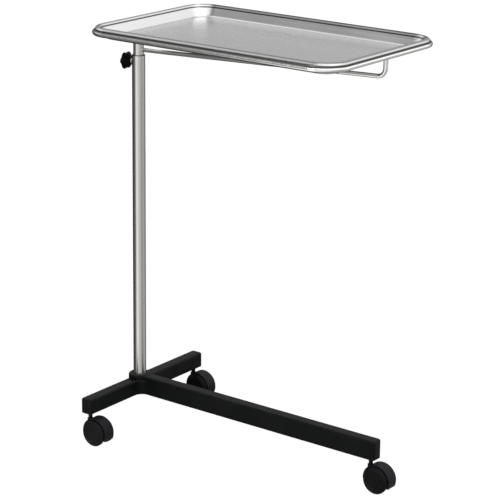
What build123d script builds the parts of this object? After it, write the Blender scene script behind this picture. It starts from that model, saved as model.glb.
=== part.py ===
from build123d import *
import math
import os

# Mayo instrument stand, millimetres, +Z up.
# +X runs from the mast along the long leg and the tray, +Y runs across them.
# The pieces are laid out about the mast axis at floor level, and the whole
# stand is moved once, on export, so that the frame's origin is at the middle
# of its footprint.

# Driving dimensions
MAST_OD = 25.0            # fixed outer tube
MAST_ID = 22.0
SLIDE_OD = 20.0           # inner tube that raises the tray
SLIDE_ID = 17.0
WHEEL_D = 50.8            # two-inch twin-wheel casters
CASTER_TRAIL = 19.5       # swivel axis to wheel axle
CASTER_W = 37.0           # over both wheel covers
LEG_W = 25.0
LEG_BOTTOM = 60.5
CROSS_TOP = 90.5
LONG_TOP = 97.5
BOSS_TOP = 98.5
BOSS_D = 44.0
MAST_TOP = 732.6
LONG_STEM_X = 546.0       # swivel axes, from the mast axis
RIGHT_STEM_Y = -148.0
LEFT_STEM_Y = 170.0
LEG_OVERHANG = 14.0       # leg end beyond the swivel axis
RING_ROD = 9.5
RING_NEAR_X = 14.0        # rod centre lines of the tray ring
RING_FAR_X = 554.0
RING_HALF_Y = 168.7
RING_Z = 802.0
RING_CORNER = 46.0
BRACE_ROD = 8.2
BRACE_FAR_X = 550.0       # the rod laps the ring's inner side
BRACE_Z_MAST = 743.2
BRACE_Z_FAR = 766.6
BRACE_BEND = 16.0
TRAY_OVER_RING = 1.8      # tray rim beyond the ring's centre line
TRAY_TOP = 813.0
TRAY_DEPTH = 22.0
TRAY_SHEET = 0.9
TRAY_RIM_W = 7.5          # curled rim, from the mouth to its outer edge
TRAY_RIM_H = 6.0
TRAY_WALL_RUN = 14.0      # how far the wall leans in over its height
KNOB_Z = 719.0
KNOB_D = 34.0
KNOB_OUT = 33.0           # outer face of the knob from the mast axis

# Derived sizes
MAST_R = MAST_OD / 2
SLIDE_R = SLIDE_OD / 2
LEG_R = LEG_W / 2
WHEEL_R = WHEEL_D / 2
RING_R = RING_ROD / 2
RING_CX = (RING_NEAR_X + RING_FAR_X) / 2
RING_A = (RING_FAR_X - RING_NEAR_X) / 2
TRAY_A = RING_A + TRAY_OVER_RING
TRAY_B = RING_HALF_Y + TRAY_OVER_RING - 1.8
TRAY_CORNER = RING_CORNER + TRAY_OVER_RING
LEG_END_X = LONG_STEM_X + LEG_OVERHANG
LEG_END_RIGHT = RIGHT_STEM_Y - LEG_OVERHANG
LEG_END_LEFT = LEFT_STEM_Y + LEG_OVERHANG

# Base casting
CAST_WALL = 4.0
CAST_ROOF = 4.0
CAST_END_R = 6.0
CAST_INSIDE_R = 15.0
CAST_EDGE_R = 3.8
CAST_FOOT_R = 2.0         # lower outer edge
SOCKET_FLOOR = 78.0       # the mast stands here
SOCKET_FLOOR_T = 6.0
HUB_CORE_D = 36.0
RIB_T = 3.0
RIB_PITCH = 65.0
STEM_BOSS_D = 19.5
STEM_BORE_D = 13.0
STEM_BORE_TOP = 86.0

# Mast fastening
FOOT_PLUG_L = 20.0
BOLT_D = 10.0
BOLT_HEAD_AF = 17.0
BOLT_HEAD_H = 6.4
WASHER_D = 21.0
WASHER_T = 2.0

# Height clamp
CLAMP_NUT_D = 12.0
CLAMP_NUT_END = 16.0      # from the mast axis
CLAMP_SCREW_D = 6.0
CLAMP_HOLE_R = 3.3
CLAMP_TIP_R = 2.8
CLAMP_TIP_GAP = 0.3
KNOB_NECK_D = 14.0
KNOB_LOBES = 6
KNOB_RIM_T = 7.0

# Bearings of the sliding tube
BUSH_L = 32.0
BUSH_LIP_T = 0.8
RUNNING = 0.05            # radial clearance of running fits
SLIDE_TOP = 803.0
SLIDE_BOTTOM = 150.0
GUIDE_L = 15.0
JOURNAL_R = 6.0
PLUG_HEAD_R = 8.0

# Casters
HOOD_R_OUT = 28.8
HOOD_R_IN = 26.9
HOOD_HALF_W = 12.5
HOOD_FROM = -24.0         # degrees, trailing edge
HOOD_TO = 183.0           # degrees, leading edge
HOOD_WEB_T = 9.0
NECK_D = 11.6
NECK_TOP = 48.6
STEM_D = 8.0
STEM_TOP = 84.0
STEM_GROOVE_R = 2.9
STEM_SHOULDER = 46.0
SPIGOT_D = 6.0
SPIGOT_BOTTOM = 33.0
AXLE_D = 6.0
WHEEL_IN = 4.8            # inner and outer planes of one wheel, from the middle
WHEEL_OUT = 17.4
WHEEL_RIM_IN = 10.0       # inner plane of the rim
COVER_R = 21.8


def cylinder_between(radius, z0, z1, x=0.0, y=0.0):
    return Pos(x, y, (z0 + z1) / 2) * Cylinder(radius, z1 - z0)


def tube_between(outer, inner, z0, z1, x=0.0, y=0.0):
    return cylinder_between(outer, z0, z1, x, y) - cylinder_between(inner, z0 - 1, z1 + 1, x, y)


def box_between(x0, x1, y0, y1, z0, z1):
    centre = ((x0 + x1) / 2, (y0 + y1) / 2, (z0 + z1) / 2)
    return Pos(*centre) * Box(x1 - x0, y1 - y0, z1 - z0)


def leg_plan(inset=0.0):
    """Plan of the T-shaped base, drawn inside the outline by inset."""
    half = LEG_R - inset
    cross = Pos(0, (LEG_END_LEFT + LEG_END_RIGHT) / 2) * Rectangle(
        2 * half, LEG_END_LEFT - LEG_END_RIGHT - 2 * inset)
    long_leg = Pos((LEG_END_X - inset) / 2, 0) * Rectangle(LEG_END_X - inset, 2 * half)
    plan = cross + long_leg
    inside = [v for v in plan.vertices() if abs(v.X - half) < 0.1 and abs(abs(v.Y) - half) < 0.1]
    ends = [v for v in plan.vertices() if v not in inside]
    plan = fillet(inside, CAST_INSIDE_R + inset)
    ends = [v for v in plan.vertices() if v.X > LEG_END_X - inset - 1
            or v.Y > LEG_END_LEFT - inset - 1 or v.Y < LEG_END_RIGHT + inset + 1]
    return fillet(ends, max(CAST_END_R - inset, 2.0))


def long_leg_plan():
    plan = Pos(LEG_END_X / 2, 0) * Rectangle(LEG_END_X, LEG_W)
    return fillet([v for v in plan.vertices() if v.X > LEG_END_X - 1], CAST_END_R)


def edges_at(shape, z):
    return shape.edges().filter_by(lambda e: abs(e.bounding_box().min.Z - z) < 0.01
                                   and abs(e.bounding_box().max.Z - z) < 0.01)


def stem_places():
    return {"toe": (LONG_STEM_X, 0.0), "left": (0.0, LEFT_STEM_Y), "right": (0.0, RIGHT_STEM_Y)}


def make_base_casting():
    """One hollow T-shaped casting, open below, ribbed, with the mast boss on top."""
    cross = Pos(0, 0, LEG_BOTTOM) * extrude(leg_plan(), CROSS_TOP - LEG_BOTTOM)
    cross = fillet(edges_at(cross, CROSS_TOP), CAST_EDGE_R)
    cross = fillet(edges_at(cross, LEG_BOTTOM), CAST_FOOT_R)
    mid = LEG_BOTTOM + 10
    long_leg = Pos(0, 0, mid) * extrude(long_leg_plan(), LONG_TOP - mid)
    top = edges_at(long_leg, LONG_TOP).filter_by(lambda e: e.center().X > 1)
    long_leg = fillet(top, CAST_EDGE_R)
    boss = cylinder_between(BOSS_D / 2, LEG_BOTTOM, BOSS_TOP)
    boss = fillet(edges_at(boss, BOSS_TOP), CAST_EDGE_R)
    boss = fillet(edges_at(boss, LEG_BOTTOM), CAST_FOOT_R)
    body = cross + long_leg + boss

    hollow = Pos(0, 0, LEG_BOTTOM - 1) * extrude(leg_plan(CAST_WALL), CROSS_TOP - CAST_ROOF - LEG_BOTTOM + 1)
    hollow -= cylinder_between(HUB_CORE_D / 2, SOCKET_FLOOR - SOCKET_FLOOR_T, BOSS_TOP)
    hollow += cylinder_between(HUB_CORE_D / 2 - 3, LEG_BOTTOM - 1, SOCKET_FLOOR - SOCKET_FLOOR_T)
    for x, y in stem_places().values():
        hollow -= cylinder_between(STEM_BOSS_D / 2, LEG_BOTTOM - 2, BOSS_TOP, x, y)
    ribs = int((LONG_STEM_X - RIB_PITCH / 2) // RIB_PITCH)
    for i in range(1, ribs + 1):
        x = i * RIB_PITCH
        hollow -= box_between(x - RIB_T / 2, x + RIB_T / 2, -LEG_R, LEG_R, LEG_BOTTOM + 6, LONG_TOP)
    for y in (LEFT_STEM_Y / 2 + 8, RIGHT_STEM_Y / 2 - 8):
        hollow -= box_between(-LEG_R, LEG_R, y - RIB_T / 2, y + RIB_T / 2, LEG_BOTTOM + 6, CROSS_TOP)
    body -= hollow

    body -= cylinder_between(MAST_R, SOCKET_FLOOR, BOSS_TOP + 1)
    body -= cylinder_between(BOLT_D / 2 + 0.5, LEG_BOTTOM, SOCKET_FLOOR + 1)
    for x, y in stem_places().values():
        body -= cylinder_between(STEM_BORE_D / 2, LEG_BOTTOM - 1, STEM_BORE_TOP, x, y)
    return body


def make_mast_tube():
    tube = tube_between(MAST_R, MAST_ID / 2, SOCKET_FLOOR, MAST_TOP)
    return tube - Pos(-MAST_R, 0, KNOB_Z) * Rot(0, 90, 0) * Cylinder(CLAMP_HOLE_R, MAST_R)


def make_mast_foot_plug():
    plug = cylinder_between(MAST_ID / 2, SOCKET_FLOOR, SOCKET_FLOOR + FOOT_PLUG_L)
    plug = chamfer(edges_at(plug, SOCKET_FLOOR + FOOT_PLUG_L), 1.0)
    return plug - cylinder_between(BOLT_D / 2, SOCKET_FLOOR - 1, SOCKET_FLOOR + FOOT_PLUG_L - 3)


def make_mast_bolt():
    seat = SOCKET_FLOOR - SOCKET_FLOOR_T - WASHER_T
    shank = cylinder_between(BOLT_D / 2, seat, SOCKET_FLOOR + FOOT_PLUG_L - 4)
    shank = chamfer(edges_at(shank, SOCKET_FLOOR + FOOT_PLUG_L - 4), 1.0)
    head = Pos(0, 0, seat - BOLT_HEAD_H) * extrude(
        RegularPolygon(BOLT_HEAD_AF / 2, 6, major_radius=False), BOLT_HEAD_H)
    return shank + head


def make_mast_washer():
    top = SOCKET_FLOOR - SOCKET_FLOOR_T
    return tube_between(WASHER_D / 2, BOLT_D / 2 + 0.25, top - WASHER_T, top)


def along_minus_x(profile_points):
    """Turned piece on the clamp axis from (distance from the mast axis, radius) points."""
    outline = Polyline(*[(0, d) if r == 0 else (r, d) for d, r in profile_points], close=True)
    turned = revolve(make_face(outline), Axis.Y)
    return Pos(0, 0, KNOB_Z) * Rot(0, 0, 90) * turned


def make_clamp_nut():
    start = MAST_R - 1.4
    nut = along_minus_x([(start, CLAMP_SCREW_D / 2 + RUNNING), (start, CLAMP_NUT_D / 2),
                         (CLAMP_NUT_END - 0.6, CLAMP_NUT_D / 2), (CLAMP_NUT_END, CLAMP_NUT_D / 2 - 0.6),
                         (CLAMP_NUT_END, CLAMP_SCREW_D / 2 + RUNNING)])
    return nut - cylinder_between(MAST_R, KNOB_Z - 20, KNOB_Z + 20)


def make_clamp_tip():
    """Nylon pad that presses on the inner tube and stays still while the screw turns."""
    face = SLIDE_R + CLAMP_TIP_GAP
    return along_minus_x([(face, 0), (face, CLAMP_TIP_R - 0.5), (face + 0.5, CLAMP_TIP_R),
                          (face + 1.8, CLAMP_TIP_R), (face + 1.8, 1.4), (face + 4.4, 1.4), (face + 4.4, 0)])


def make_clamp_screw():
    start = SLIDE_R + CLAMP_TIP_GAP + 1.85
    end = KNOB_OUT - 5
    screw_r = CLAMP_SCREW_D / 2
    return along_minus_x([(start + 3, 0), (start + 3, 1.45), (start, 1.45), (start, screw_r - 0.5),
                          (start + 0.5, screw_r), (end, screw_r), (end, 0)])


def make_clamp_knob():
    """Star knob: round neck, cone behind the lobes, lobed rim, shallow dished face."""
    neck_end = CLAMP_NUT_END + 0.4
    rim_in = KNOB_OUT - KNOB_RIM_T
    knob_r = KNOB_D / 2
    cone_start = rim_in - 6
    body = along_minus_x([(neck_end, 0), (neck_end, KNOB_NECK_D / 2 - 0.6), (neck_end + 0.6, KNOB_NECK_D / 2),
                          (cone_start, KNOB_NECK_D / 2), (rim_in + 1, knob_r - 1.5), (rim_in + 2.5, knob_r),
                          (KNOB_OUT - 2, knob_r), (KNOB_OUT, knob_r - 2.5), (KNOB_OUT, 11), (KNOB_OUT - 1.2, 9),
                          (KNOB_OUT - 1.2, 0)])
    flute_r = 9.0
    flute_at = knob_r + flute_r - 4.0
    for i in range(KNOB_LOBES):
        angle = math.radians(360 / KNOB_LOBES * (i + 0.5))
        body -= Pos(-rim_in, flute_at * math.cos(angle), KNOB_Z + flute_at * math.sin(angle)) * Rot(
            0, 90, 0) * Cylinder(flute_r, 40)
    screw_end = KNOB_OUT - 5
    bore = Pos(-(neck_end + screw_end) / 2, 0, KNOB_Z) * Rot(0, 90, 0) * Cylinder(
        CLAMP_SCREW_D / 2, screw_end - neck_end)
    return body - bore


def make_tube_bush():
    """Plastic bush pressed in the mast's top, with a lip on the tube's end."""
    bush = cylinder_between(MAST_ID / 2, MAST_TOP - BUSH_L, MAST_TOP)
    bush += cylinder_between(MAST_R - 0.3, MAST_TOP, MAST_TOP + BUSH_LIP_T)
    bush -= cylinder_between(SLIDE_R + RUNNING, MAST_TOP - BUSH_L - 1, MAST_TOP + 2)
    return bush - Pos(-MAST_R, 0, KNOB_Z) * Rot(0, 90, 0) * Cylinder(CLAMP_HOLE_R, MAST_R)


def make_ring_path(half_x, half_y, corner, z, centre_x):
    frame = RectangleRounded(2 * half_x, 2 * half_y, corner)
    return Pos(centre_x, 0, z) * frame.wire()


def sweep_round(path, radius):
    section = Plane(path @ 0, z_dir=path % 0) * Circle(radius)
    return sweep(section, path=path)


def make_tray_ring():
    """Closed loop of bent rod that carries the tray by its rim."""
    return sweep_round(make_ring_path(RING_A, RING_HALF_Y, RING_CORNER, RING_Z, RING_CX), RING_R)


def make_inner_tube():
    tube = tube_between(SLIDE_R, SLIDE_ID / 2, SLIDE_BOTTOM + GUIDE_L, SLIDE_TOP)
    notch = Pos(RING_NEAR_X, 0, RING_Z) * Rot(90, 0, 0) * Cylinder(RING_R, 60)
    return tube - notch


def make_inner_tube_cap():
    cap = cylinder_between(SLIDE_ID / 2, SLIDE_TOP - 8, SLIDE_TOP)
    return chamfer(edges_at(cap, SLIDE_TOP), 0.6)


def make_inner_tube_plug():
    """Plug in the inner tube's lower end, with the journal that the guide ring turns on."""
    top = SLIDE_BOTTOM + GUIDE_L
    plug = cylinder_between(SLIDE_ID / 2, top, top + 14)
    plug += cylinder_between(JOURNAL_R, SLIDE_BOTTOM - 0.3, top)
    return plug + cylinder_between(PLUG_HEAD_R, SLIDE_BOTTOM - 3.3, SLIDE_BOTTOM - 0.3)


def make_guide_ring():
    outer = MAST_ID / 2 - 2 * RUNNING
    ring = tube_between(outer, JOURNAL_R + RUNNING, SLIDE_BOTTOM, SLIDE_BOTTOM + GUIDE_L - 0.3)
    return chamfer(ring.edges().filter_by(GeomType.CIRCLE).filter_by(lambda e: e.radius > 10), 0.8)


def make_brace_rod():
    """Rod from the inner tube under the tray, bent up to the ring's far side."""
    slope = (BRACE_Z_FAR - BRACE_Z_MAST) / BRACE_FAR_X
    start = (SLIDE_R - 1.5, 0, BRACE_Z_MAST + slope * (SLIDE_R - 1.5))
    corner = (BRACE_FAR_X, 0, BRACE_Z_FAR)
    path = FilletPolyline(start, corner, (BRACE_FAR_X, 0, RING_Z + 1), radius=BRACE_BEND)
    rod = sweep_round(path, BRACE_ROD / 2)
    rod -= Pos(RING_FAR_X, 0, RING_Z) * Rot(90, 0, 0) * Cylinder(RING_R, 60)
    rod -= cylinder_between(SLIDE_R, BRACE_Z_MAST - 30, BRACE_Z_MAST + 30)
    return max(rod.solids(), key=lambda s: s.volume)


def make_tray_rim():
    """Sheet edge curled outwards and down until its lip rests on the rod ring."""
    path = make_ring_path(TRAY_A, TRAY_B, TRAY_CORNER, TRAY_TOP, RING_CX)
    start = path @ 0
    along = path % 0
    outward = along.cross(Vector(0, 0, 1))
    if outward.dot(start - Vector(RING_CX, 0, TRAY_TOP)) < 0:
        outward = -outward
    plane = Plane(start, x_dir=outward, z_dir=along)
    up = 1 if plane.y_dir.Z > 0 else -1
    curl_r = (TRAY_RIM_W ** 2 + TRAY_RIM_H ** 2) / (2 * TRAY_RIM_H)
    half_turn = math.asin(TRAY_RIM_W / curl_r)

    def point(radius, angle):
        return (radius * math.sin(angle) - TRAY_RIM_W, up * (radius * math.cos(angle) - curl_r))

    outside = ThreePointArc(*[point(curl_r, half_turn * k / 2) for k in (0, 1, 2)])
    inside = ThreePointArc(*[point(curl_r - TRAY_SHEET, half_turn * k / 2) for k in (2, 1, 0)])
    profile = make_face([outside, Line(outside @ 1, inside @ 0), inside, Line(inside @ 1, outside @ 0)])
    return sweep(plane * profile, path=path)


def make_tray():
    """Pressed tray: flat floor, leaning walls and a curled rim."""
    depth = TRAY_DEPTH
    lean = math.degrees(math.atan2(TRAY_WALL_RUN, depth))
    mouth_a = TRAY_A - TRAY_RIM_W
    mouth_b = TRAY_B - TRAY_RIM_W
    mouth_r = TRAY_CORNER - TRAY_RIM_W

    def pan(grow, drop, floor_r):
        plan = Pos(RING_CX, 0, TRAY_TOP) * RectangleRounded(
            2 * (mouth_a + grow), 2 * (mouth_b + grow), mouth_r + grow)
        solid = extrude(plan, -(depth + drop), taper=lean)
        return fillet(edges_at(solid, TRAY_TOP - depth - drop), floor_r)

    inner = pan(0.0, 0.0, 6.0)
    outer = pan(TRAY_SHEET, TRAY_SHEET, 6.0 + TRAY_SHEET)
    return make_tray_rim() + outer - inner


def arc_shell(r_in, r_out, from_deg, to_deg, half_w):
    """Part of a round shell about the wheel axle, in the caster's own frame."""
    steps = [from_deg + (to_deg - from_deg) * i / 2 for i in range(3)]

    def point(r, deg):
        return (r * math.cos(math.radians(deg)), r * math.sin(math.radians(deg)))

    outer = ThreePointArc(*[point(r_out, d) for d in steps])
    inner = ThreePointArc(*[point(r_in, d) for d in reversed(steps)])
    close_a = Line(outer @ 1, inner @ 0)
    close_b = Line(inner @ 1, outer @ 0)
    face = make_face([outer, close_a, inner, close_b])
    solid = extrude(face, half_w, both=True)
    return Pos(CASTER_TRAIL, 0, WHEEL_R) * Rot(90, 0, 0) * solid


def make_hood():
    """Moulded caster body: shell over both wheels, middle web, axle boss and stem neck."""
    shell = arc_shell(HOOD_R_IN, HOOD_R_OUT, HOOD_FROM, HOOD_TO, HOOD_HALF_W)
    rim = shell.edges().filter_by(GeomType.CIRCLE).filter_by(lambda e: abs(e.radius - HOOD_R_OUT) < 0.01)
    shell = fillet(rim, 1.4)
    web = arc_shell(8.0, HOOD_R_IN + 0.5, HOOD_FROM + 14, HOOD_TO + 4, HOOD_WEB_T / 2)
    axle_boss = Pos(CASTER_TRAIL, 0, WHEEL_R) * Rot(90, 0, 0) * Cylinder(9.0, HOOD_WEB_T)
    neck = cylinder_between(NECK_D / 2, SPIGOT_BOTTOM - 3, NECK_TOP)
    wheel_room = Pos(CASTER_TRAIL, 0, WHEEL_R) * Rot(90, 0, 0) * Cylinder(HOOD_R_IN, 60)
    neck_in = neck & (Pos(CASTER_TRAIL, 0, WHEEL_R) * Rot(90, 0, 0) * Cylinder(HOOD_R_IN, HOOD_WEB_T))
    neck_out = neck - wheel_room
    hood = shell + web + axle_boss + neck_in + neck_out
    hood -= Pos(CASTER_TRAIL, 0, WHEEL_R) * Rot(90, 0, 0) * Cylinder(AXLE_D / 2, 60)
    hood -= cylinder_between(SPIGOT_D / 2, SPIGOT_BOTTOM, NECK_TOP + 20)
    return hood - cylinder_between(STEM_D / 2, STEM_SHOULDER, NECK_TOP + 20)


def make_stem():
    """Steel stem pressed in the hood by its spigot, with a groove for its grip ring."""
    stem = cylinder_between(STEM_D / 2, STEM_SHOULDER, STEM_TOP)
    stem = chamfer(edges_at(stem, STEM_TOP), 1.2)
    stem += cylinder_between(SPIGOT_D / 2, SPIGOT_BOTTOM, STEM_SHOULDER)
    return stem - tube_between(STEM_D, STEM_GROOVE_R, STEM_TOP - 7, STEM_TOP - 5)


def make_grip_ring():
    ring = tube_between(STEM_GROOVE_R + 1.5, STEM_GROOVE_R + 0.05, STEM_TOP - 6.9, STEM_TOP - 5.1)
    return ring - box_between(0, 8, -0.9, 0.9, STEM_TOP - 8, STEM_TOP - 4)


def make_stem_socket():
    """Liner pressed in the casting, in which the stem turns."""
    socket = tube_between(STEM_BORE_D / 2, STEM_D / 2 + RUNNING, LEG_BOTTOM, STEM_BORE_TOP)
    socket -= cylinder_between(STEM_GROOVE_R + 1.75, STEM_TOP - 7.4, STEM_TOP - 4.6)
    return socket


def make_axle():
    length = 2 * (WHEEL_OUT - 3.5)
    axle = Cylinder(AXLE_D / 2, length)
    axle = chamfer(axle.edges().filter_by(GeomType.CIRCLE), 0.5)
    return Pos(CASTER_TRAIL, 0, WHEEL_R) * Rot(90, 0, 0) * axle


def turned_about_axle(points, side):
    """Piece turned about the wheel axle from (distance along it, radius) points."""
    outline = Polyline(*[(r, d) for d, r in points], close=True)
    turned = revolve(make_face(outline), Axis.Y)
    if side < 0:
        turned = Rot(180, 0, 0) * turned
    return Pos(CASTER_TRAIL, 0, WHEEL_R) * turned


def make_wheel(side):
    """Moulded wheel: bored hub, thin web and rounded rim that is its tread."""
    bore = AXLE_D / 2 + RUNNING
    edge = 1.8
    web = WHEEL_RIM_IN + 2.5
    return turned_about_axle([
        (WHEEL_IN, bore), (WHEEL_IN, 7.0), (WHEEL_RIM_IN, 7.0), (WHEEL_RIM_IN, WHEEL_R - edge),
        (WHEEL_RIM_IN + edge, WHEEL_R), (WHEEL_OUT - edge, WHEEL_R), (WHEEL_OUT, WHEEL_R - edge),
        (WHEEL_OUT, COVER_R), (web, COVER_R), (web, 7.0), (14.5, 7.0), (14.5, bore)], side)


def make_wheel_cover(side):
    """Dished disc that closes the wheel's outer side."""
    half = CASTER_W / 2
    seat = COVER_R
    return turned_about_axle([
        (WHEEL_OUT - 2.2, 0), (WHEEL_OUT - 2.2, seat), (WHEEL_OUT + 0.1, seat), (half, seat - 1.8),
        (half, seat - 3.2), (half - 1.6, seat - 5.4), (half - 1.2, 6.5), (half - 0.8, 0)], side)


def place_caster(shape, place):
    return Pos(place[0], place[1], 0) * shape


def build_all():
    nodes = {
        "base_casting": make_base_casting(),
        "mast_tube": make_mast_tube(),
        "mast_foot_plug": make_mast_foot_plug(),
        "mast_bolt": make_mast_bolt(),
        "mast_washer": make_mast_washer(),
        "mast_top_bush": make_tube_bush(),
        "clamp_nut": make_clamp_nut(),
        "clamp_tip": make_clamp_tip(),
        "clamp_screw": make_clamp_screw(),
        "clamp_knob": make_clamp_knob(),
        "inner_tube": make_inner_tube(),
        "inner_tube_cap": make_inner_tube_cap(),
        "inner_tube_plug": make_inner_tube_plug(),
        "inner_guide_ring": make_guide_ring(),
        "tray_ring": make_tray_ring(),
        "brace_rod": make_brace_rod(),
        "tray": make_tray(),
    }
    pieces = {
        "socket": make_stem_socket(),
        "stem": make_stem(),
        "grip_ring": make_grip_ring(),
        "hood": make_hood(),
        "axle": make_axle(),
        "wheel_a": make_wheel(-1),
        "wheel_b": make_wheel(1),
        "cover_a": make_wheel_cover(-1),
        "cover_b": make_wheel_cover(1),
    }
    for caster, place in stem_places().items():
        for piece, shape in pieces.items():
            nodes[f"caster_{caster}_{piece}"] = place_caster(shape, place)
    return nodes


def footprint_centre():
    """Middle of the whole stand's box, about the mast axis."""
    low_x = -KNOB_OUT
    high_x = LONG_STEM_X + CASTER_TRAIL + HOOD_R_OUT
    low_y = -(RING_HALF_Y + RING_R)
    high_y = LEFT_STEM_Y + CASTER_W / 2
    return (low_x + high_x) / 2, (low_y + high_y) / 2


def main():
    os.makedirs("parts", exist_ok=True)
    centre_x, centre_y = footprint_centre()
    for name, shape in build_all().items():
        placed = Pos(-centre_x, -centre_y, 0) * shape
        export_step(placed, f"parts/{name}.step")
    print("mast axis at", -centre_x, -centre_y)


main()
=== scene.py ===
import math

import bmesh
import bpy
from mathutils import Matrix, Vector


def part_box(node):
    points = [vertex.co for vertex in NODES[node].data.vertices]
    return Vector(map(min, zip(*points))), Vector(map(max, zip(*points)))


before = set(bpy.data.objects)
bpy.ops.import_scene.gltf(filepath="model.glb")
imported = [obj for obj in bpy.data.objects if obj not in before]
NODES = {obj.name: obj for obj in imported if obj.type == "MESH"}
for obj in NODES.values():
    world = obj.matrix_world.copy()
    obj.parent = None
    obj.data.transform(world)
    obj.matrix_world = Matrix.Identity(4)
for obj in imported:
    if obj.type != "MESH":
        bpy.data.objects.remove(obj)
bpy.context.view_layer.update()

# The photograph's camera, in metres and degrees
CAMERA_FROM_MAST = (2.34814, -2.80547, 1.47365)
CAMERA_AZIMUTH = 36.58
CAMERA_PITCH = 17.06
CAMERA_ROLL = 0.74
CAMERA_LENS_MM = 142.39

# Places read from the frame
MAST_LOW, MAST_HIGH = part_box("mast_tube")
MAST_X = (MAST_LOW[0] + MAST_HIGH[0]) / 2
MAST_Y = (MAST_LOW[1] + MAST_HIGH[1]) / 2
TRAY_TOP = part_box("tray")[1][2]
RING_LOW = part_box("tray_ring")[0][2]
RIM_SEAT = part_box("tray_ring")[1][2]
CASTERS = ("toe", "left", "right")

# Painted shade: dark bands where the rim meets the ring, under the ring and along the rim's top, as heights
# in metres: from, to, softness, share of the colour that is left
ROD_SHADE_UNDER_RIM = (RIM_SEAT - 0.0018, 1.0, 0.0005, 0.10)
ROD_SHADE_UNDERSIDE = (RING_LOW - 0.0005, RING_LOW + 0.0016, 0.0006, 0.10)
RIM_LIP_SHADE = (RIM_SEAT - 0.0002, RIM_SEAT + 0.0022, 0.0006, 0.10)
RIM_CROWN_SHADE = (TRAY_TOP - 0.0020, 1.0, 0.0005, 0.42)
RIM_POLISH = TRAY_TOP - 0.0012

# The floor's and the studio's strength where the camera sees them, and the floor's size in metres
SEEN_WHITE = 1.02
FLOOR_SIZE = 12.0


class Shading:
    """A material's node tree, with short calls for the nodes used here."""

    def __init__(self, name):
        self.material = bpy.data.materials.new(name)
        self.material.use_nodes = True
        self.tree = self.material.node_tree
        self.shader = self.tree.nodes["Principled BSDF"]

    def add(self, kind, **sockets):
        node = self.tree.nodes.new(kind)
        for socket, value in sockets.items():
            node.inputs[socket.replace("_", " ")].default_value = value
        return node

    def link(self, source, target):
        self.tree.links.new(source, target)

    def set(self, **sockets):
        for socket, value in sockets.items():
            self.shader.inputs[socket.replace("_", " ")].default_value = value

    def object_point(self, scale=(1, 1, 1)):
        point = self.tree.nodes.new("ShaderNodeTexCoord").outputs["Object"]
        mapping = self.add("ShaderNodeMapping", Scale=scale)
        self.link(point, mapping.inputs["Vector"])
        return mapping.outputs["Vector"]

    def noise(self, vector, scale, detail=2.0, roughness=0.5):
        node = self.add("ShaderNodeTexNoise", Scale=scale, Detail=detail, Roughness=roughness)
        self.link(vector, node.inputs["Vector"])
        return node.outputs["Fac"]

    def ramp(self, fac, stops):
        node = self.add("ShaderNodeValToRGB")
        self.link(fac, node.inputs["Fac"])
        elements = node.color_ramp.elements
        while len(elements) < len(stops):
            elements.new(0.5)
        for element, (place, value) in zip(elements, stops):
            element.position = place
            grey = value if isinstance(value, tuple) else (value, value, value)
            element.color = (*grey, 1.0)
        return node.outputs["Color"]

    def bump(self, height, strength, distance, below=None):
        node = self.add("ShaderNodeBump", Strength=strength, Distance=distance)
        self.link(height, node.inputs["Height"])
        if below is not None:
            self.link(below, node.inputs["Normal"])
        self.link(node.outputs["Normal"], self.shader.inputs["Normal"])
        return node.outputs["Normal"]


def paint_shade_between(s, colour, low, high, soft, factor):
    """Painted shade: the colour is multiplied by factor from height low to high, a dark band standing in for
    shade in a crevice or under a part.
    """
    parts = s.add("ShaderNodeSeparateXYZ")
    s.link(s.object_point(), parts.inputs[0])
    rise = s.add("ShaderNodeMapRange", From_Min=low - soft, From_Max=low + soft)
    fall = s.add("ShaderNodeMapRange", From_Min=high - soft, From_Max=high + soft, To_Min=1.0, To_Max=0.0)
    inside = s.add("ShaderNodeMath")
    inside.operation = "MULTIPLY"
    for number, node in enumerate((rise, fall)):
        s.link(parts.outputs["Z"], node.inputs["Value"])
        s.link(node.outputs["Result"], inside.inputs[number])
    share = s.add("ShaderNodeMapRange", To_Min=1.0, To_Max=factor)
    s.link(inside.outputs[0], share.inputs["Value"])
    scale = s.add("ShaderNodeVectorMath")
    scale.operation = "SCALE"
    s.link(colour, scale.inputs[0])
    s.link(share.outputs["Result"], scale.inputs["Scale"])
    return scale.outputs["Vector"]


def brushed_steel(name, grain, tint, roughness, streak, bump, polish_above=None, painted_shade_bands=()):
    """Stainless steel, brushed along the axis where grain is small, and smoother above polish_above; painted
    shade bands darken its colour between given heights.
    """
    s = Shading(name)
    s.set(Metallic=1.0)
    fine = s.noise(s.object_point(grain), 1.0, 3.0, 0.6)
    broad = s.noise(s.object_point((9, 9, 9)), 1.0, 2.0)
    dark = tuple(c * (1 - streak) for c in tint)
    light = tuple(min(1.0, c * (1 + streak)) for c in tint)
    colour = s.ramp(fine, [(0.3, dark), (0.7, light)])
    # Painted shade: each band darkens the colour between two heights in the object's frame.
    for painted_shade_band in painted_shade_bands:
        colour = paint_shade_between(s, colour, *painted_shade_band)
    s.link(colour, s.shader.inputs["Base Color"])
    mixed = s.add("ShaderNodeMath")
    mixed.operation = "MULTIPLY"
    s.link(fine, mixed.inputs[0])
    s.link(broad, mixed.inputs[1])
    rough = s.ramp(mixed.outputs[0], [(0.1, roughness * 0.85), (0.45, roughness * 1.2)])
    if polish_above is not None:
        parts = s.add("ShaderNodeSeparateXYZ")
        s.link(s.object_point(), parts.inputs[0])
        share = s.add("ShaderNodeMapRange", From_Min=polish_above - 0.0006, From_Max=polish_above + 0.0002)
        s.link(parts.outputs["Z"], share.inputs["Value"])
        fall = s.add("ShaderNodeMapRange", To_Min=1.0, To_Max=0.45)
        s.link(share.outputs["Result"], fall.inputs["Value"])
        both = s.add("ShaderNodeMath")
        both.operation = "MULTIPLY"
        s.link(rough, both.inputs[0])
        s.link(fall.outputs["Result"], both.inputs[1])
        rough = both.outputs[0]
    s.link(rough, s.shader.inputs["Roughness"])
    s.bump(fine, bump, 0.0004)
    return s.material


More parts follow.
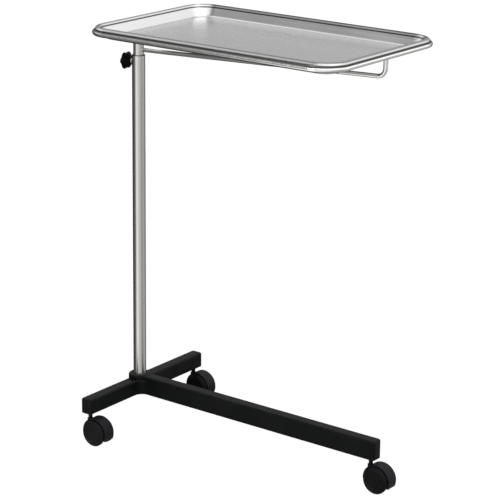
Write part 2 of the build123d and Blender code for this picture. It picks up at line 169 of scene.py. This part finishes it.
def black_coat():
    """Satin powder coat: black, with a faint orange peel."""
    s = Shading("base_powder_coat")
    s.set(Specular_IOR_Level=0.07)
    point = s.object_point()
    peel = s.noise(point, 900, 2.0)
    patches = s.noise(point, 14, 3.0)
    s.link(s.ramp(patches, [(0.3, (0.004, 0.0044, 0.0044)), (0.75, (0.007, 0.0074, 0.0074))]),
           s.shader.inputs["Base Color"])
    s.link(s.ramp(patches, [(0.25, 0.36), (0.8, 0.46)]), s.shader.inputs["Roughness"])
    s.bump(peel, 0.25, 0.0003)
    return s.material


def moulded_plastic(name, dark, light, roughness, gloss=0.15, grain=1400, depth=0.2, turned=False):
    """Moulded plastic with a fine spark texture; a turned one has faint rings about its axle."""
    s = Shading(name)
    s.set(Specular_IOR_Level=gloss)
    point = s.object_point()
    texture = s.noise(point, grain, 2.0)
    patches = s.noise(point, 60, 3.0)
    s.link(s.ramp(patches, [(0.3, dark), (0.75, light)]), s.shader.inputs["Base Color"])
    s.link(s.ramp(patches, [(0.2, roughness - 0.05), (0.8, roughness + 0.06)]), s.shader.inputs["Roughness"])
    below = s.bump(texture, depth, 0.0002)
    if turned:
        ribs = s.add("ShaderNodeTexWave", Scale=95.0, Distortion=0.0)
        ribs.bands_direction = "Y"
        s.link(s.object_point(), ribs.inputs["Vector"])
        s.bump(ribs.outputs["Fac"], 0.5, 0.0004, below)
    return s.material


def plated_steel(name, tint, roughness):
    s = Shading(name)
    s.set(Metallic=1.0)
    cloud = s.noise(s.object_point(), 120, 3.0)
    s.link(s.ramp(cloud, [(0.3, tuple(c * 0.85 for c in tint)), (0.7, tint)]), s.shader.inputs["Base Color"])
    s.link(s.ramp(cloud, [(0.2, roughness - 0.06), (0.8, roughness + 0.08)]), s.shader.inputs["Roughness"])
    return s.material


def dress_nodes():
    """Gives each CAD node its finish."""
    tube = brushed_steel("mast_satin", (700, 700, 6), (0.60, 0.588, 0.568), 0.22, 0.05, 0.10)
    # The rod gets painted shade: a dark band on the ring's top under the tray's rim, which stays when the
    # tray is lifted, and one along the ring's underside.
    rod = brushed_steel("rod_polished", (90, 90, 90), (0.80, 0.79, 0.775), 0.20, 0.03, 0.03,
                        painted_shade_bands=(ROD_SHADE_UNDER_RIM, ROD_SHADE_UNDERSIDE))
    # The tray gets painted shade: dark bands on the rim's lip where it sits on the ring and along the top of
    # the rim.
    tray = brushed_steel("tray_brushed", (4, 620, 620), (0.63, 0.63, 0.632), 0.27, 0.05, 0.12,
                         RIM_POLISH, (RIM_LIP_SHADE, RIM_CROWN_SHADE))
    turned = brushed_steel("turned_steel", (40, 40, 900), (0.52, 0.52, 0.52), 0.35, 0.06, 0.08)
    zinc = plated_steel("zinc_plate", (0.60, 0.61, 0.64), 0.36)
    coat = black_coat()
    hood_black = moulded_plastic("caster_plastic", (0.007, 0.0073, 0.009), (0.011, 0.0115, 0.014), 0.42, 0.09,
                                 turned=True)
    wheel_black = moulded_plastic("wheel_nylon", (0.004, 0.004, 0.005), (0.007, 0.007, 0.008), 0.5, 0.1,
                                  900, 0.3)
    cover_black = moulded_plastic("cover_plastic", (0.004, 0.004, 0.0044), (0.006, 0.006, 0.0066), 0.42, 0.1)
    knob_black = moulded_plastic("knob_plastic", (0.0015, 0.0015, 0.0015), (0.003, 0.003, 0.003), 0.36, 0.05)
    bush_black = moulded_plastic("bush_plastic", (0.012, 0.012, 0.012), (0.02, 0.02, 0.02), 0.5)
    nylon = moulded_plastic("nylon_white", (0.70, 0.70, 0.66), (0.80, 0.80, 0.76), 0.5, 0.4)
    stem_black = plated_steel("stem_black", (0.03, 0.03, 0.032), 0.4)
    finishes = {
        "base_casting": coat, "mast_tube": tube, "inner_tube": tube, "inner_tube_cap": turned,
        "inner_tube_plug": turned, "mast_foot_plug": turned, "mast_bolt": zinc, "mast_washer": zinc,
        "mast_top_bush": bush_black, "clamp_nut": turned, "clamp_tip": nylon, "clamp_screw": zinc,
        "clamp_knob": knob_black, "inner_guide_ring": nylon, "tray_ring": rod, "brace_rod": rod, "tray": tray,
    }
    caster_finishes = {
        "socket": zinc, "stem": stem_black, "grip_ring": zinc, "hood": hood_black, "axle": zinc,
        "wheel_a": wheel_black, "wheel_b": wheel_black, "cover_a": cover_black, "cover_b": cover_black,
    }
    for caster in CASTERS:
        for piece, finish in caster_finishes.items():
            finishes[f"caster_{caster}_{piece}"] = finish
    for node, finish in finishes.items():
        mesh = NODES[node].data
        mesh.materials.clear()
        mesh.materials.append(finish)


# Brightness of the studio round the object, by compass direction: -X, front-left, front, camera, +X,
# far right, back, behind the object, -X again. The floor's row is what the upright tubes mirror. The low,
# wall and high rows are the studio from the horizon up, which the tray mirrors.
COMPASS = (0.0, 0.147, 0.25, 0.353, 0.5, 0.62, 0.75, 0.853, 1.0)
FLOOR_ROW = (0.06, 0.14, 1.35, 0.82, 0.45, 0.60, 0.10, 0.04, 0.06)
LOW_ROW = (0.10, 0.20, 0.60, 1.30, 0.90, 1.20, 0.20, 0.05, 0.10)
WALL_ROW = (0.35, 0.30, 0.60, 1.30, 0.90, 1.70, 0.80, 0.62, 0.35)
HIGH_ROW = (1.50, 0.18, 1.60, 1.80, 1.70, 1.36, 1.20, 0.60, 1.50)
CEILING = 0.90
ROW_SCALE = 2.0


def compass(tree, vector):
    """0 to 1 round the object, starting at -X and going through the front (-Y)."""
    parts = tree.nodes.new("ShaderNodeSeparateXYZ")
    angle = tree.nodes.new("ShaderNodeMath")
    angle.operation = "ARCTAN2"
    turn = tree.nodes.new("ShaderNodeMath")
    turn.operation = "MULTIPLY_ADD"
    turn.inputs[1].default_value = 1 / (2 * math.pi)
    turn.inputs[2].default_value = 0.5
    tree.links.new(vector, parts.inputs[0])
    tree.links.new(parts.outputs["Y"], angle.inputs[0])
    tree.links.new(parts.outputs["X"], angle.inputs[1])
    tree.links.new(angle.outputs[0], turn.inputs[0])
    return turn.outputs[0], parts.outputs["Z"]


def row_ramp(tree, fac, row):
    node = tree.nodes.new("ShaderNodeValToRGB")
    node.color_ramp.interpolation = "EASE"
    elements = node.color_ramp.elements
    while len(elements) < len(row):
        elements.new(0.5)
    for element, place, value in zip(elements, COMPASS, row):
        element.position = place
        element.color = (value / ROW_SCALE, value / ROW_SCALE, value / ROW_SCALE, 1)
    tree.links.new(fac, node.inputs["Fac"])
    return node.outputs["Color"]


def make_floor():
    """Pale floor: plain white to look at; in what the steel mirrors it glows with painted light, brighter on
    some sides, and painted shade dims it near the mast.
    """
    mesh = bpy.data.meshes.new("floor")
    build = bmesh.new()
    bmesh.ops.create_grid(build, x_segments=8, y_segments=8, size=FLOOR_SIZE / 2)
    build.to_mesh(mesh)
    build.free()
    floor = bpy.data.objects.new("floor", mesh)
    bpy.context.scene.collection.objects.link(floor)
    material = bpy.data.materials.new("floor_pale")
    material.use_nodes = True
    tree = material.node_tree
    tree.nodes.clear()
    out = tree.nodes.new("ShaderNodeOutputMaterial")
    seen = tree.nodes.new("ShaderNodeEmission")
    seen.inputs["Strength"].default_value = SEEN_WHITE
    mirrored = tree.nodes.new("ShaderNodeEmission")
    mirrored.inputs["Strength"].default_value = ROW_SCALE
    from_mast = tree.nodes.new("ShaderNodeVectorMath")
    from_mast.operation = "SUBTRACT"
    from_mast.inputs[1].default_value = (MAST_X, MAST_Y, 0.0)
    tree.links.new(tree.nodes.new("ShaderNodeTexCoord").outputs["Object"], from_mast.inputs[0])
    point = from_mast.outputs["Vector"]
    turn, _ = compass(tree, point)
    # Painted shade: the mirrored floor is dimmed to 0.3 of its brightness near the mast, rising to full 0.4 m
    # away.
    reach = tree.nodes.new("ShaderNodeVectorMath")
    reach.operation = "LENGTH"
    tree.links.new(point, reach.inputs[0])
    mirrored_shade_near_mast = tree.nodes.new("ShaderNodeMapRange")
    mirrored_shade_near_mast.interpolation_type = "SMOOTHSTEP"
    mirrored_shade_near_mast.inputs["From Min"].default_value = 0.05
    mirrored_shade_near_mast.inputs["From Max"].default_value = 0.4
    mirrored_shade_near_mast.inputs["To Min"].default_value = 0.3
    mirrored_shade_near_mast.inputs["To Max"].default_value = 1.0
    tree.links.new(reach.outputs["Value"], mirrored_shade_near_mast.inputs["Value"])
    dim = tree.nodes.new("ShaderNodeVectorMath")
    dim.operation = "SCALE"
    tree.links.new(row_ramp(tree, turn, FLOOR_ROW), dim.inputs[0])
    tree.links.new(mirrored_shade_near_mast.outputs["Result"], dim.inputs["Scale"])
    tree.links.new(dim.outputs["Vector"], mirrored.inputs["Color"])
    rays = tree.nodes.new("ShaderNodeLightPath")
    mix = tree.nodes.new("ShaderNodeMixShader")
    tree.links.new(rays.outputs["Is Camera Ray"], mix.inputs["Fac"])
    tree.links.new(mirrored.outputs[0], mix.inputs[1])
    tree.links.new(seen.outputs[0], mix.inputs[2])
    tree.links.new(mix.outputs[0], out.inputs["Surface"])
    mesh.materials.append(material)


def area_light(name, place, target, size, power):
    data = bpy.data.lights.new(name, "AREA")
    data.shape = "RECTANGLE"
    data.size, data.size_y = size
    data.energy = power
    lamp = bpy.data.objects.new(name, data)
    lamp.location = place
    lamp.rotation_euler = (Vector(target) - Vector(place)).to_track_quat("-Z", "Y").to_euler()
    bpy.context.scene.collection.objects.link(lamp)


def make_world():
    """Soft studio walls and ceiling, white behind the object."""
    world = bpy.data.worlds.new("studio")
    bpy.context.scene.world = world
    world.use_nodes = True
    tree = world.node_tree
    tree.nodes.clear()
    out = tree.nodes.new("ShaderNodeOutputWorld")
    white = tree.nodes.new("ShaderNodeBackground")
    white.inputs["Color"].default_value = (1, 1, 1, 1)
    white.inputs["Strength"].default_value = SEEN_WHITE
    studio = tree.nodes.new("ShaderNodeBackground")
    studio.inputs["Strength"].default_value = ROW_SCALE
    turn, height = compass(tree, tree.nodes.new("ShaderNodeTexCoord").outputs["Generated"])
    shade = row_ramp(tree, turn, LOW_ROW)
    ceiling = tree.nodes.new("ShaderNodeRGB").outputs[0]
    ceiling.default_value = (CEILING / ROW_SCALE, CEILING / ROW_SCALE, CEILING / ROW_SCALE, 1)
    layers = (
        (row_ramp(tree, turn, WALL_ROW), 0.05, 0.2),
        (row_ramp(tree, turn, HIGH_ROW), 0.28, 0.45),
        (ceiling, 0.75, 0.95),
    )
    for above, low, high in layers:
        rise = tree.nodes.new("ShaderNodeMapRange")
        rise.interpolation_type = "SMOOTHSTEP"
        rise.inputs["From Min"].default_value = low
        rise.inputs["From Max"].default_value = high
        tree.links.new(height, rise.inputs["Value"])
        blend = tree.nodes.new("ShaderNodeMix")
        blend.data_type = "RGBA"
        tree.links.new(rise.outputs["Result"], blend.inputs[0])
        tree.links.new(shade, blend.inputs[6])
        tree.links.new(above, blend.inputs[7])
        shade = blend.outputs[2]
    tree.links.new(shade, studio.inputs["Color"])
    rays = tree.nodes.new("ShaderNodeLightPath")
    mix = tree.nodes.new("ShaderNodeMixShader")
    tree.links.new(rays.outputs["Is Camera Ray"], mix.inputs["Fac"])
    tree.links.new(studio.outputs["Background"], mix.inputs[1])
    tree.links.new(white.outputs["Background"], mix.inputs[2])
    tree.links.new(mix.outputs["Shader"], out.inputs["Surface"])


def make_lights():
    area_light("key_front", (-0.9, -3.0, 1.9), (0.0, 0.0, 0.4), (1.2, 1.2), 22)
    area_light("overhead", (0.4, 0.2, 3.0), (0.0, 0.0, 0.6), (2.0, 2.0), 18)
    bpy.context.scene.view_settings.view_transform = "Standard"


def make_camera():
    azimuth, pitch, roll = (math.radians(v) for v in (CAMERA_AZIMUTH, CAMERA_PITCH, CAMERA_ROLL))
    level = math.cos(pitch)
    forward = Vector((-math.sin(azimuth) * level, math.cos(azimuth) * level, -math.sin(pitch)))
    level_right = Vector((math.cos(azimuth), math.sin(azimuth), 0.0))
    level_up = level_right.cross(forward)
    right = level_right * math.cos(roll) + level_up * math.sin(roll)
    up = level_up * math.cos(roll) - level_right * math.sin(roll)
    data = bpy.data.cameras.new("photo_camera")
    data.sensor_width = 36.0
    data.lens = CAMERA_LENS_MM
    camera = bpy.data.objects.new("photo_camera", data)
    place = (MAST_X + CAMERA_FROM_MAST[0], MAST_Y + CAMERA_FROM_MAST[1], CAMERA_FROM_MAST[2])
    camera.matrix_world = Matrix.Translation(place) @ Matrix((right, up, -forward)).transposed().to_4x4()
    bpy.context.scene.collection.objects.link(camera)
    bpy.context.scene.camera = camera


dress_nodes()
make_floor()
make_world()
make_lights()
make_camera()
